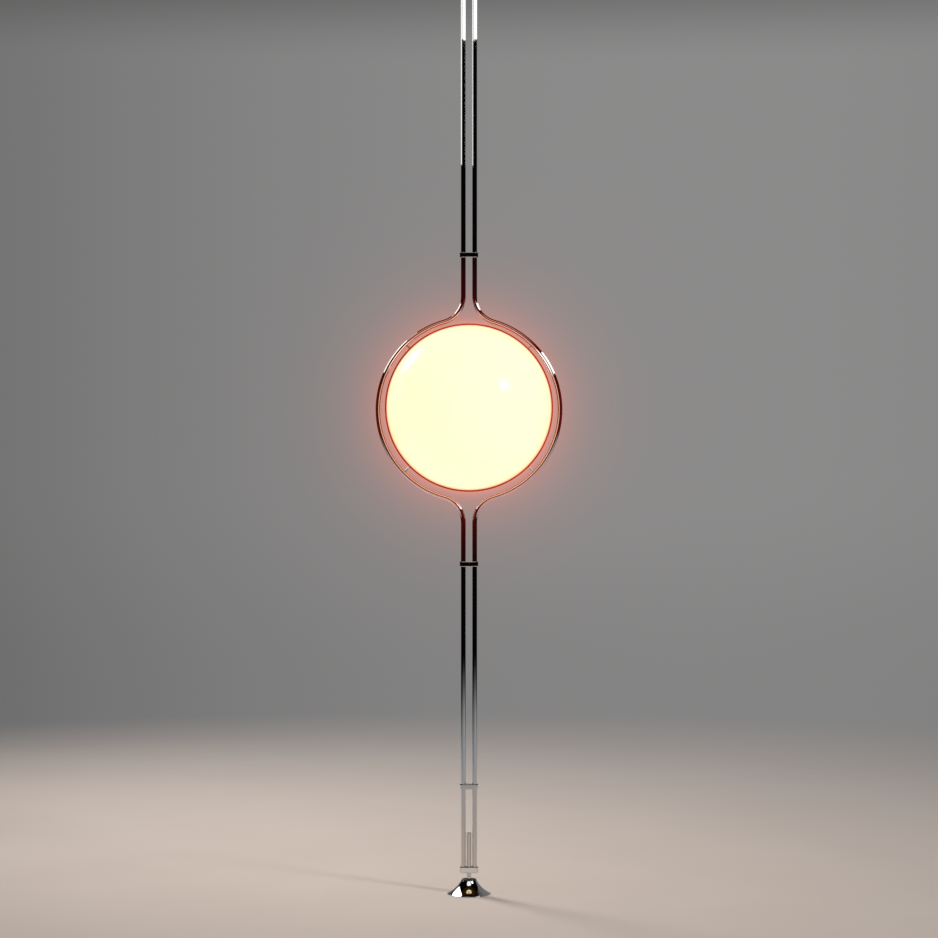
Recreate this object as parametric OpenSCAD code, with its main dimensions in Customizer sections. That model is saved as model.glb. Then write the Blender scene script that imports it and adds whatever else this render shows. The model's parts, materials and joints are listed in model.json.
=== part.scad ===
// Floor-to-ceiling lamp: two chromed tubes run side by side from floor to ceiling and part
// into a ring that carries an opal globe on four short pins. A screwed rod in each end block
// pushes a flared foot against the floor or the ceiling.
// Millimetres. +Z is up, the origin lies on the floor under the lamp's axis, and the front
// of the lamp faces -Y.

/* [Room] */
// Height from floor to ceiling with both jacks at rest
room_h = 2500; // [2300:10:3000]
// Height of the ring's centre above the floor
ring_z = 1026; // [900:2:1300]

/* [Tubes] */
// Outside diameter of the tubes
tube_d = 10; // [9:0.5:13]
// Wall of the tubes
tube_wall = 1; // [0.8:0.1:1.4]
// Clear gap between the jack rod and each tube
rod_side_gap = 2; // [1.5:0.5:8]
// Radius of the bend where a tube turns out into the ring, at its centreline
bend_r = 56; // [40:1:80]
// How much thinner a bend comes out than the straight tube, in radius
bend_thinning = 0.02; // [0.01:0.01:0.05]
// Gap between the butting ends of two tube lengths inside a coupling bar
butt_gap = 0.4; // [0.2:0.1:1]
// Length of a spigot, half of it in each tube length
spigot_l = 50; // [30:2:80]
// Wall of a spigot
spigot_wall = 1.2; // [1:0.1:1.8]

/* [Bars and blocks] */
// Straight length of tube from a ring bend to the middle of its coupling bar
bar_rise = 88; // [60:1:140]
// Height of the coupling and guide bars
bar_h = 10.5; // [9:0.5:16]
// Metal left round a tube in a bar or block
bar_wall = 2.5; // [2:0.25:5]
// Height of the end blocks
block_h = 12.5; // [10:0.5:25]
// Floor left under a tube in an end block
block_floor = 2.5; // [1.5:0.5:5]
// Distance from an end block's inner face to the middle of its guide bar
guide_rise = 170; // [150:2:260]
// Diameter of the set screws
screw_d = 3; // [2.5:0.5:4]
// Width of a set screw's hexagon socket across flats
socket_w = 1.5; // [1.3:0.1:1.5]
// Depth of a set screw's socket
socket_depth = 1.2; // [0.8:0.1:1.4]

/* [Globe] */
// Outside diameter of the opal globe
globe_d = 350; // [300:5:450]
// Wall of the opal shells
shell_wall = 3; // [2:0.5:4]
// How far the globe's centre sits above the ring's centre
globe_lift = 3.8; // [0:0.2:6]
// Clear gap between the band round the globe and the ring tubes
ring_gap = 10; // [9:0.5:25]
// Thickness of the band's lip outside the shells
lip_t = 2.7; // [1.5:0.1:4]
// How far the lip reaches over the rim of a shell
lip_depth = 5; // [4:0.5:10]
// Width of the band's web between the two shells
web_w = 8; // [7:0.5:14]
// Depth of the web inward from the outside of the shells
web_depth = 10; // [8:0.5:14]
// Thickness of the gaskets
gasket_t = 1; // [0.5:0.1:2]

/* [Globe fixings] */
// Diameter of the support pins
pin_d = 5; // [5:0.1:6]
// Diameter of the threaded end of a pin
pin_stub_d = 4; // [3.8:0.1:4.4]
// Bore of the pins
pin_bore = 2.6; // [2.6:0.1:3]
// Angle of the pins above and below the globe's equator line
pin_angle = 45; // [35:1:55]
// How far a pin's threaded end stands out of its nut
stub_proud = 1.5; // [0.5:0.1:3]
// Width of the pin nuts across flats
nut_w = 7; // [6.5:0.5:8]
// Thickness of the pin nuts
nut_t = 3.2; // [2:0.1:4]
// Width of a shell clip
clip_w = 10; // [6:1:16]
// Thickness of a shell clip's spring strip
clip_t = 0.8; // [0.5:0.1:1]
// How far a clip reaches out of the band under its shell
clip_reach = 9; // [6:0.5:14]
// Angle of a shell's first clip from the equator line; the others follow at right angles
clip_angle = 15; // [10:1:22]

/* [Lampholder and bulb] */
// Diameter of the bulb's dome
bulb_d = 60; // [45:1:80]
// Wall of the bulb's dome
dome_wall = 1.2; // [0.8:0.1:2]
// Diameter of the bulb's neck where it meets the screw cap
neck_d = 25; // [22:0.5:26]
// Distance from the dome's centre to the top of the screw cap
neck_drop = 52; // [46:1:70]
// Diameter of the bulb's screw cap
cap_d = 26.4; // [25:0.2:27]
// Length of the bulb's screw cap
cap_l = 22; // [18:0.5:24]
// Length of the insulator and contact under the screw cap
cap_tip_l = 4; // [2:0.5:6]
// Diameter of the contact under the screw cap
cap_tip_d = 10; // [6:0.5:14]
// Radial gap between the screw cap and the holder's screw shell
cap_clear = 0.4; // [0.3:0.1:0.6]
// Thickness of the holder's screw shell
screw_shell_t = 0.8; // [0.4:0.1:1]
// Length of the holder's screw shell
screw_shell_l = 20; // [14:1:22]
// Wall of the lampholder's body round the screw shell
holder_wall = 5; // [3:0.5:8]
// Floor of the lampholder's body
holder_floor = 14; // [10:0.5:20]
// Thickness of the holder's centre contact
contact_t = 2; // [1:0.5:3]
// Distance from the bulb's neck down to the holder's top edge
holder_drop = 2; // [1:0.5:4]
// Outside diameter of the lamp's stem
stem_d = 10; // [9:0.5:13]
// Bore of the stem
stem_bore = 6; // [5:0.5:7]
// How far the stem enters the lampholder
stem_entry = 8; // [5:0.5:9]
// Length of the stem's foot along the band
stem_foot_l = 34; // [30:1:50]
// Width of the stem's foot
stem_foot_w = 14; // [13:0.5:20]
// Thickness of the stem's foot
stem_foot_t = 5; // [4.5:0.5:10]
// Distance of the foot's screws from the stem's axis
stem_screw_x = 11; // [10:0.5:12]
// Length of the foot's screws
stem_screw_l = 11; // [8:0.5:12]

/* [Wiring] */
// Diameter of the supply lead
lead_d = 2.2; // [1.6:0.1:2.3]
// Distance of the inlet from the ceiling block, down the right tube
inlet_drop = 22; // [15:1:80]
// Bore of the inlet grommet
inlet_bore = 4; // [3:0.2:4.2]
// Wall of the inlet grommet
grommet_wall = 1; // [0.8:0.1:1.2]
// Width of the grommet's outer flange beyond its body
grommet_flange = 1.2; // [0.8:0.1:2]
// Thickness of the grommet's outer flange
grommet_flange_t = 1.5; // [1:0.1:3]
// Distance of the lead's end below the inlet
lead_end_drop = 6; // [5:0.5:20]
// Width of a lead clip along and across the band
lead_clip_w = 5; // [4.5:0.5:7]

/* [Jacks and feet] */
// Diameter of the jack rods
rod_d = 10; // [9:0.5:12]
// Length of a rod above its foot
rod_l = 98; // [90:1:150]
// Gap between a foot and its end block at rest
jack_gap = 13.5; // [11:0.5:30]
// Diameter of the rod's journal in the foot
journal_d = 8; // [7:0.1:8.4]
// Overall height of a foot with its pad and disc
foot_h = 31; // [28:0.5:45]
// Diameter of a foot at its base
foot_d = 91.5; // [80:0.5:120]
// Diameter of a foot's neck, under its disc
foot_neck_d = 32; // [28:0.5:40]
// Radius of a foot's hollow flank
flare_r = 65; // [55:1:90]
// Height of the upright rim at the base of a foot
rim_h = 0.8; // [0.5:0.1:3]
// Diameter of the disc on a foot's neck
disc_d = 31; // [26:0.5:36]
// Thickness of the disc on a foot's neck
disc_t = 2; // [1.5:0.1:4]
// Bevel on the disc's edge
disc_bevel = 0.6; // [0.3:0.1:1]
// Thickness of a foot's rubber pad
pad_t = 2; // [1.5:0.5:3]
// How far the pad stands out of the foot
pad_proud = 0.5; // [0.4:0.1:1]
// Width of the foot's rim round the pad
pad_border = 5; // [4:0.5:8]
// Height of the well for the rod's screw, above the pad
well_h = 13; // [11:0.5:14]
// Diameter of that well
well_d = 24; // [22:0.5:28]
// Diameter of the rod's washer
washer_d = 16; // [13:0.5:20]
// Thickness of the rod's washer
washer_t = 1.5; // [1:0.1:2]
// Diameter of the rod's screw
rod_screw_d = 5; // [4:0.1:5.5]
// Length of the rod's screw in the rod
rod_screw_l = 12; // [8:0.5:20]
// Height of the rod screw's head
rod_screw_head_h = 4; // [2.5:0.1:5]
// Diameter of the rod screw's head
rod_screw_head_d = 8.5; // [7:0.5:10]

/* [Clearances] */
// Radial clearance of fixed round fits
fit_clear = 0.05; // [0.02:0.01:0.1]
// Radial clearance of running fits
run_clear = 0.06; // [0.03:0.01:0.1]
// Gap between faces that only rest on each other
seat_gap = 0.3; // [0.1:0.05:0.4]
// Radial gap between a shell and the band's lip
lip_clear = 0.3; // [0.2:0.05:0.6]

/* [Hidden] */
$fn = 96;
// How far a cutting body runs past the face it cuts
over = 1;
// How far a bend runs into its neighbours
lap = 0.4;
tube_bore = tube_d - 2 * tube_wall;
tube_x = tube_d / 2 + rod_side_gap + rod_d / 2;
bar_depth = tube_d + 2 * bar_wall;
globe_r = globe_d / 2;
globe_z = ring_z + globe_lift;
band_r = globe_r + lip_clear + lip_t;
web_r = globe_r - web_depth;
rim_y = web_w / 2 + gasket_t + seat_gap;
ring_r = band_r + ring_gap + tube_d / 2;
bend_x = tube_x + bend_r;
bend_z = sqrt(pow(ring_r + bend_r, 2) - pow(bend_x, 2));
ring_angle = atan2(bend_z, bend_x);
coupling_rise = bend_z + bar_rise;
lower_bar_z = ring_z - coupling_rise;
upper_bar_z = ring_z + coupling_rise;

block_z = foot_h + jack_gap;
block_top = block_z + block_h;
tube_end_z = block_z + block_floor;
guide_z = block_top + guide_rise;

stem_base_z = seat_gap - web_r;
cap_top_z = -neck_drop;
contact_z = cap_top_z - cap_l - cap_tip_l - seat_gap;
cavity_z = contact_z - contact_t;
holder_top_z = cap_top_z - holder_drop;
holder_z = cavity_z - holder_floor;
screw_shell_d = cap_d + 2 * cap_clear + 2 * screw_shell_t;
holder_bore = screw_shell_d + 2 * fit_clear;
holder_d = holder_bore + 2 * holder_wall;
lead_r = web_r - max(nut_t + stub_proud, stem_foot_t + seat_gap) - lead_d / 2 - seat_gap;
lead_elbow_d = lead_d + 4 * bend_thinning;
lead_end_z = room_h - block_top - inlet_drop - lead_end_drop;

disc_z = foot_h - disc_t;
cone_z = pad_proud + rim_h;
well_top = pad_t + well_h;
journal_z = well_top - seat_gap;

// Colours as the photo shows them
chrome = [0.78, 0.79, 0.8];
steel = [0.6, 0.6, 0.62];
opal = [1, 1, 0.85];
orange = [0.8, 0.44, 0.27];
black = [0.19, 0.19, 0.19];
brass = [0.8, 0.65, 0.3];
rubber = [0.12, 0.12, 0.12];
silicone = [0.9, 0.9, 0.86];
ceramic = [0.93, 0.92, 0.88];
sleeve = [0.85, 0.84, 0.8];

// Distance from the globe's centre, along a pin, to the ring's centreline.
// rise is the sine of the pin's angle, negative for a pin below the equator line.
function pin_reach(rise) =
    -rise * globe_lift + sqrt(pow(ring_r, 2) - pow(globe_lift, 2) * (1 - rise * rise));

// Angle on the ring, seen from the ring's centre, at which a pin meets it
function pin_ring_angle(angle) =
    let (reach = pin_reach(sin(angle)))
    atan2(globe_lift + reach * sin(angle), reach * cos(angle));

module at_ring() {
    translate([0, 0, ring_z]) children();
}

module at_globe() {
    translate([0, 0, globe_z]) children();
}

module left_side() {
    mirror([1, 0, 0]) children();
}

module ceiling_end() {
    translate([0, 0, room_h]) mirror([0, 0, 1]) children();
}

// Turns +X of its children to an angle above the equator line, round the globe's centre
module toward(angle) {
    at_globe() rotate([0, -angle, 0]) children();
}

// Lays +Z of its children along +X
module along_x() {
    rotate([0, 90, 0]) children();
}

// Lays +Z of its children along +Y, keeping X
module along_y() {
    rotate([-90, 0, 0]) children();
}

// Round bar bent in the plane of the ring, from one angle to another
module arc_bar(radius, d, from_angle, to_angle) {
    rotate([90, 0, 0])
        rotate([0, 0, from_angle])
            rotate_extrude(angle = to_angle - from_angle)
                translate([radius, 0]) circle(d = d);
}

// Revolves a profile drawn with X as radius and Y as depth, round the globe's front-to-back axis
module round_globe() {
    at_globe() rotate([-90, 0, 0]) rotate_extrude() children();
}

// Upper bend of the right tube, about the ring's centre. It runs a little way into its neighbours.
module upper_bend(d) {
    lap_angle = lap / bend_r * 180 / PI;
    translate([bend_x, 0, bend_z])
        arc_bar(bend_r, d - 2 * bend_thinning, 180 - lap_angle, 180 + ring_angle + lap_angle);
}

// Centreline of the right ring tube, about the ring's centre
module ring_bar(d, end_extra) {
    for (end = [0, 1])
        mirror([0, 0, end]) {
            upper_bend(d);
            translate([tube_x, 0, bend_z])
                cylinder(d = d, h = bar_rise - butt_gap / 2 + end_extra);
        }
    arc_bar(ring_r, d, -ring_angle, ring_angle);
}

// Hole along a pin's axis
module pin_hole(angle, d, from_r, to_r) {
    toward(angle) translate([from_r, 0, 0]) along_x() cylinder(d = d, h = to_r - from_r);
}

module straight_tube(from_z, to_z) {
    translate([tube_x, 0, from_z])
        difference() {
            cylinder(d = tube_d, h = to_z - from_z);
            translate([0, 0, -over]) cylinder(d = tube_bore, h = to_z - from_z + 2 * over);
        }
}

module inlet_place() {
    translate([tube_x, 0, room_h - block_top - inlet_drop]) along_y() children();
}

module lower_tube() {
    color(chrome) straight_tube(tube_end_z, lower_bar_z - butt_gap / 2);
}

module upper_tube(has_inlet) {
    color(chrome)
        difference() {
            straight_tube(upper_bar_z + butt_gap / 2, room_h - tube_end_z);
            if (has_inlet)
                inlet_place() cylinder(d = inlet_bore + 2 * grommet_wall + 2 * fit_clear, h = tube_d);
        }
}

module ring_tube() {
    color(chrome)
        difference() {
            at_ring() ring_bar(tube_d, 0);
            at_ring() ring_bar(tube_bore, over);
            for (angle = [-pin_angle, pin_angle])
                pin_hole(angle, pin_d + 2 * fit_clear,
                    pin_reach(sin(angle)) - tube_d, pin_reach(sin(angle)));
        }
}

module lower_tube_left() { left_side() lower_tube(); }
module lower_tube_right() { lower_tube(); }
module ring_tube_left() { left_side() ring_tube(); }
module ring_tube_right() { ring_tube(); }
module upper_tube_left() { left_side() upper_tube(false); }
module upper_tube_right() { upper_tube(true); }

// Flat bar with round ends, centred on the tubes' axes
module bar_blank(h) {
    for (side = [-1, 1])
        translate([side * tube_x, 0, 0]) cylinder(d = bar_depth, h = h);
    translate([-tube_x, -bar_depth / 2, 0]) cube([2 * tube_x, bar_depth, h]);
}

// Heights of the set screws in a bar, from the bar's middle
coupling_screws = [-bar_h / 4, bar_h / 4];
guide_screws = [0];

module set_screw_holes(heights) {
    for (side = [-1, 1], z = heights)
        translate([side * tube_x, 0, z]) along_y() cylinder(d = screw_d + 2 * fit_clear, h = bar_depth);
}

// Bar with through bores for the tubes, about its middle
module tie_bar(screw_heights) {
    color(chrome)
        difference() {
            translate([0, 0, -bar_h / 2]) bar_blank(bar_h);
            for (side = [-1, 1])
                translate([side * tube_x, 0, -bar_h / 2 - over])
                    cylinder(d = tube_d + 2 * fit_clear, h = bar_h + 2 * over);
            set_screw_holes(screw_heights);
        }
}

// Thick block with blind bores for the tubes and a bore for the rod, standing on its lower face
module end_block() {
    color(chrome)
        translate([0, 0, block_z])
            difference() {
                bar_blank(block_h);
                for (side = [-1, 1])
                    translate([side * tube_x, 0, block_floor - seat_gap])
                        cylinder(d = tube_d + 2 * fit_clear, h = block_h);
                translate([0, 0, -over]) cylinder(d = rod_d + 2 * run_clear, h = block_h + 2 * over);
                translate([0, 0, block_h / 2]) set_screw_holes(guide_screws);
            }
}

module lower_coupling_bar() { translate([0, 0, lower_bar_z]) tie_bar(coupling_screws); }
module upper_coupling_bar() { translate([0, 0, upper_bar_z]) tie_bar(coupling_screws); }
module lower_guide_bar() { translate([0, 0, guide_z]) tie_bar(guide_screws); }
module upper_guide_bar() { translate([0, 0, room_h - guide_z]) tie_bar(guide_screws); }
module floor_end_block() { end_block(); }
module ceiling_end_block() { ceiling_end() end_block(); }

// Short sleeves that line up the tube lengths inside a coupling bar
module spigots(z) {
    color(steel)
        for (side = [-1, 1])
            translate([side * tube_x, 0, z - spigot_l / 2])
                difference() {
                    cylinder(d = tube_bore - 2 * fit_clear, h = spigot_l);
                    translate([0, 0, -over])
                        cylinder(d = tube_bore - 2 * fit_clear - 2 * spigot_wall, h = spigot_l + 2 * over);
                }
}

module lower_spigots() { spigots(lower_bar_z); }
module upper_spigots() { spigots(upper_bar_z); }

// One set screw with its socket at the back, between a tube and the back of its bar
module set_screw() {
    along_y()
        difference() {
            translate([0, 0, tube_d / 2 + fit_clear]) cylinder(d = screw_d, h = bar_wall - fit_clear);
            translate([0, 0, bar_depth / 2 - socket_depth])
                cylinder(d = socket_w / cos(30), h = socket_depth + over, $fn = 6);
        }
}

module set_screws() {
    middles = [
        for (z = coupling_screws) lower_bar_z + z,
        for (z = coupling_screws) upper_bar_z + z,
        guide_z,
        room_h - guide_z,
        block_z + block_h / 2,
        room_h - block_z - block_h / 2
    ];
    color(steel)
        for (side = [-1, 1], z = middles)
            translate([side * tube_x, 0, z]) set_screw();
}

// Hollow pin from the band to the inside of a ring tube, with a threaded end inside the band
module support_pin(angle) {
    tube_seat = pin_reach(sin(angle)) - tube_bore / 2 + tube_wall / 2;
    stub_r = web_r - nut_t - stub_proud;
    toward(angle)
        difference() {
            union() {
                translate([band_r, 0, 0]) along_x() cylinder(d = pin_d, h = tube_seat - band_r);
                translate([stub_r, 0, 0]) along_x() cylinder(d = pin_stub_d, h = band_r - stub_r);
            }
            translate([stub_r - over, 0, 0])
                along_x() cylinder(d = pin_bore, h = tube_seat - stub_r + 2 * over);
        }
}

module pin_pair(angle) {
    color(chrome)
        for (side = [0, 1])
            mirror([side, 0, 0]) support_pin(angle);
}

module upper_support_pins() { pin_pair(pin_angle); }
module lower_support_pins() { pin_pair(-pin_angle); }

module pin_nuts() {
    color(steel)
        for (side = [0, 1], angle = [-pin_angle, pin_angle])
            mirror([side, 0, 0])
                toward(angle)
                    translate([web_r - nut_t - seat_gap, 0, 0])
                        along_x()
                            difference() {
                                cylinder(d = nut_w / cos(30), h = nut_t, $fn = 6);
                                translate([0, 0, -over])
                                    cylinder(d = pin_stub_d + 2 * fit_clear, h = nut_t + 2 * over);
                            }
}

// Band round the globe: a web between the two shells and a lip over their rims
module equator_band() {
    lip_r = globe_r + lip_clear;
    lip_y = rim_y + lip_depth;
    color(orange)
        difference() {
            round_globe() {
                translate([web_r, -web_w / 2]) square([band_r - web_r, web_w]);
                translate([lip_r, -lip_y]) square([band_r - lip_r, 2 * lip_y]);
            }
            for (side = [0, 1], angle = [-pin_angle, pin_angle])
                mirror([side, 0, 0])
                    pin_hole(angle, pin_stub_d + 2 * fit_clear, web_r - over, band_r + over);
            stem_screw_places() cylinder(d = screw_d + 2 * fit_clear, h = stem_screw_l + seat_gap);
        }
}

// Flat ring between the band's web and a shell's rim
module gasket() {
    color(silicone)
        round_globe()
            translate([globe_r - shell_wall, web_w / 2]) square([shell_wall, gasket_t]);
}

module rear_gasket() { gasket(); }
module front_gasket() { mirror([0, 1, 0]) gasket(); }

// Spring strips on the inside of the band that bear on the inside of a shell's rim
module shell_clips(first_angle) {
    tip_y = web_w / 2 + clip_reach;
    tip_r = sqrt(pow(globe_r - shell_wall, 2) - pow(tip_y, 2)) - seat_gap - clip_t / 4;
    foot_r = web_r - seat_gap;
    color(steel)
        for (turn = [0, 90, 180])
            toward(first_angle + turn)
                translate([0, 0, -clip_w / 2])
                    linear_extrude(clip_w)
                        polygon([
                            [foot_r - clip_t, -web_w / 2],
                            [foot_r, -web_w / 2],
                            [foot_r, web_w / 2],
                            [tip_r, tip_y - clip_t],
                            [tip_r - clip_t / 2, tip_y],
                            [foot_r - clip_t, web_w / 2 + clip_t]
                        ]);
}

module rear_shell_clips() { shell_clips(clip_angle); }
module front_shell_clips() { mirror([0, 1, 0]) shell_clips(-clip_angle); }

// Opal shell behind the band; its rim lies inside the band's lip
module shell() {
    color(opal)
        round_globe()
            intersection() {
                difference() {
                    circle(r = globe_r);
                    circle(r = globe_r - shell_wall);
                }
                translate([0, rim_y]) square(globe_r);
            }
}

module globe_rear_shell() { shell(); }
module globe_front_shell() { mirror([0, 1, 0]) shell(); }

// Places of the screws that hold the stem's foot, standing at the band's inner face and pointing down
module stem_screw_places() {
    for (side = [-1, 1])
        at_globe()
            translate([side * stem_screw_x, 0, stem_base_z + stem_foot_t])
                mirror([0, 0, 1]) children();
}

// Plate that carries the stem on the inner face of the band
module stem_foot() {
    color(brass)
        difference() {
            at_globe()
                difference() {
                    translate([-stem_foot_l / 2, -stem_foot_w / 2, -globe_r])
                        cube([stem_foot_l, stem_foot_w, globe_r + stem_base_z + stem_foot_t]);
                    rotate([90, 0, 0])
                        difference() {
                            cylinder(r = 2 * globe_r, h = 2 * stem_foot_w, center = true);
                            cylinder(r = web_r - seat_gap, h = 3 * stem_foot_w, center = true, $fn = 720);
                        }
                    translate([0, 0, -globe_r]) cylinder(d = stem_d + 2 * fit_clear, h = globe_r);
                }
            stem_screw_places() {
                translate([0, 0, -over]) cylinder(d = screw_d + 2 * fit_clear, h = stem_foot_t + 2 * over);
                cylinder(d1 = 2 * screw_d + 2 * fit_clear, d2 = screw_d + 2 * fit_clear, h = screw_d / 2);
            }
        }
}

module stem_foot_screws() {
    color(steel)
        stem_screw_places() {
            cylinder(d1 = 2 * screw_d, d2 = screw_d, h = screw_d / 2);
            cylinder(d = screw_d, h = stem_screw_l);
        }
}

// Hollow stem from the band's inner face up into the lampholder
module lamp_stem() {
    stem_l = holder_z + stem_entry - stem_base_z;
    color(brass)
        at_globe()
            translate([0, 0, stem_base_z])
                difference() {
                    cylinder(d = stem_d, h = stem_l);
                    translate([0, 0, -over]) cylinder(d = stem_bore, h = stem_l + 2 * over);
                    translate([0, 0, -lead_r - stem_base_z])
                        along_x() cylinder(d = pin_bore + seat_gap, h = stem_d);
                }
}

module lampholder_body() {
    color(ceramic)
        at_globe()
            translate([0, 0, holder_z])
                difference() {
                    cylinder(d = holder_d, h = holder_top_z - holder_z);
                    translate([0, 0, cavity_z - holder_z]) cylinder(d = holder_bore, h = globe_r);
                    translate([0, 0, -over]) cylinder(d = stem_d + 2 * fit_clear, h = stem_entry + over);
                    cylinder(d = stem_bore, h = holder_floor + over);
                }
}

module lampholder_screw_shell() {
    color(brass)
        at_globe()
            translate([0, 0, cavity_z + contact_t])
                difference() {
                    cylinder(d = screw_shell_d, h = screw_shell_l);
                    translate([0, 0, -over])
                        cylinder(d = cap_d + 2 * cap_clear, h = screw_shell_l + 2 * over);
                }
}

module lampholder_contact() {
    color(brass)
        at_globe() translate([0, 0, cavity_z]) cylinder(d = cap_tip_d, h = contact_t);
}

module bulb_screw_cap() {
    color(steel)
        at_globe() {
            translate([0, 0, cap_top_z - cap_l]) cylinder(d = cap_d, h = cap_l);
            translate([0, 0, cap_top_z - cap_l - cap_tip_l]) cylinder(d = cap_tip_d, h = cap_tip_l);
        }
}

// The straight neck touches the round dome at this angle below the dome's equator
neck_angle = atan2(neck_drop, neck_d / 2) - acos(bulb_d / 2 / norm([neck_drop, neck_d / 2]));

module bulb_housing() {
    color(ceramic)
        at_globe()
            translate([0, 0, cap_top_z])
                cylinder(d1 = neck_d, d2 = bulb_d * cos(neck_angle),
                    h = neck_drop - bulb_d / 2 * sin(neck_angle));
}

module bulb_dome() {
    color(opal)
        at_globe()
            rotate_extrude()
                intersection() {
                    difference() {
                        circle(d = bulb_d);
                        circle(d = bulb_d - 2 * dome_wall);
                    }
                    translate([0, -bulb_d / 2 * sin(neck_angle)]) square(bulb_d);
                }
}

// Lead from below the inlet, down the right tube, round the ring, in through the lower right pin,
// along the inside of the band and up the stem to the lampholder
module supply_lead() {
    reach = pin_reach(-sin(pin_angle));
    straight_z = ring_z + bend_z;
    color(sleeve) {
        translate([tube_x, 0, straight_z]) cylinder(d = lead_d, h = lead_end_z - straight_z);
        at_ring() {
            upper_bend(lead_d);
            arc_bar(ring_r, lead_d, pin_ring_angle(-pin_angle), ring_angle);
        }
        toward(-pin_angle) {
            translate([reach, 0, 0]) sphere(d = lead_elbow_d);
            translate([lead_r, 0, 0]) along_x() cylinder(d = lead_d, h = reach - lead_r);
            translate([lead_r, 0, 0]) sphere(d = lead_elbow_d);
        }
        at_globe() {
            arc_bar(lead_r, lead_d, -90, -pin_angle);
            translate([0, 0, -lead_r]) sphere(d = lead_elbow_d);
            translate([0, 0, -lead_r]) cylinder(d = lead_d, h = lead_r + cavity_z - seat_gap);
        }
    }
}

// Small posts on the inside of the band that hold the lead
module lead_clips() {
    post_r = lead_r - lead_clip_w / 2;
    color(silicone)
        for (share = [1 / 3, 2 / 3])
            toward(-pin_angle - share * (90 - pin_angle))
                difference() {
                    translate([post_r, -lead_clip_w / 2, -lead_clip_w / 2])
                        cube([web_r - seat_gap - post_r, lead_clip_w, lead_clip_w]);
                    translate([lead_r, 0, -lead_clip_w])
                        cylinder(d = lead_d + 2 * seat_gap, h = 2 * lead_clip_w);
                }
}

module inlet_grommet() {
    body_d = inlet_bore + 2 * grommet_wall;
    body_y = tube_bore / 2 - tube_wall;
    flange_y = tube_d / 2 + fit_clear;
    color(rubber)
        inlet_place()
            difference() {
                union() {
                    translate([0, 0, body_y]) cylinder(d = body_d, h = flange_y - body_y);
                    translate([0, 0, flange_y])
                        cylinder(d = body_d + 2 * grommet_flange, h = grommet_flange_t);
                }
                cylinder(d = inlet_bore, h = tube_d + grommet_flange_t);
            }
}

// Outline of a foot's metal body: an upright rim and one hollow flank up to the neck
module foot_outline() {
    base = [foot_d / 2, cone_z];
    neck = [foot_neck_d / 2, disc_z];
    chord = neck - base;
    rise = sqrt(pow(flare_r, 2) - pow(norm(chord) / 2, 2));
    hub = (base + neck) / 2 + rise / norm(chord) * [chord[1], -chord[0]];
    difference() {
        polygon([
            [0, pad_proud],
            [foot_d / 2, pad_proud],
            [foot_d / 2, disc_z],
            [0, disc_z]
        ]);
        translate(hub) circle(r = flare_r, $fn = 360);
    }
}

module foot_cone() {
    color(chrome)
        difference() {
            rotate_extrude() foot_outline();
            cylinder(d = foot_d - 2 * pad_border, h = pad_t);
            cylinder(d = well_d, h = well_top);
            cylinder(d = journal_d + 2 * run_clear, h = foot_h);
        }
}

module foot_disc() {
    bore_r = journal_d / 2 + run_clear;
    disc_r = disc_d / 2;
    color(black)
        rotate_extrude()
            polygon([
                [bore_r, disc_z],
                [disc_r, disc_z],
                [disc_r, foot_h - disc_bevel],
                [disc_r - disc_bevel, foot_h],
                [bore_r, foot_h]
            ]);
}

module foot_pad() {
    color(rubber) cylinder(d = foot_d - 2 * pad_border - 2 * fit_clear, h = pad_t);
}

// Rod with a journal that turns in the foot and a tapped hole for its screw
module jack_rod() {
    color(chrome)
        difference() {
            union() {
                translate([0, 0, foot_h + run_clear]) cylinder(d = rod_d, h = rod_l - run_clear);
                translate([0, 0, journal_z]) cylinder(d = journal_d, h = foot_h - journal_z + over);
            }
            translate([0, 0, journal_z - over])
                cylinder(d = rod_screw_d + 2 * fit_clear, h = rod_screw_l + 2 * over);
        }
}

module rod_washer() {
    color(steel)
        translate([0, 0, journal_z - washer_t])
            difference() {
                cylinder(d = washer_d, h = washer_t);
                translate([0, 0, -over]) cylinder(d = rod_screw_d + 2 * fit_clear, h = washer_t + 2 * over);
            }
}

module rod_screw() {
    head_top = journal_z - washer_t;
    color(steel)
        difference() {
            union() {
                translate([0, 0, head_top - rod_screw_head_h])
                    cylinder(d = rod_screw_head_d, h = rod_screw_head_h);
                translate([0, 0, head_top]) cylinder(d = rod_screw_d, h = washer_t + rod_screw_l);
            }
            translate([0, 0, head_top - rod_screw_head_h - over])
                cylinder(d = rod_screw_d / 2 / cos(30), h = rod_screw_head_h / 2 + over, $fn = 6);
        }
}

module floor_foot_cone() { foot_cone(); }
module floor_foot_disc() { foot_disc(); }
module floor_foot_pad() { foot_pad(); }
module floor_jack_rod() { jack_rod(); }
module floor_rod_washer() { rod_washer(); }
module floor_rod_screw() { rod_screw(); }
module ceiling_cup_cone() { ceiling_end() foot_cone(); }
module ceiling_cup_disc() { ceiling_end() foot_disc(); }
module ceiling_cup_pad() { ceiling_end() foot_pad(); }
module ceiling_jack_rod() { ceiling_end() jack_rod(); }
module ceiling_rod_washer() { ceiling_end() rod_washer(); }
module ceiling_rod_screw() { ceiling_end() rod_screw(); }

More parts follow.
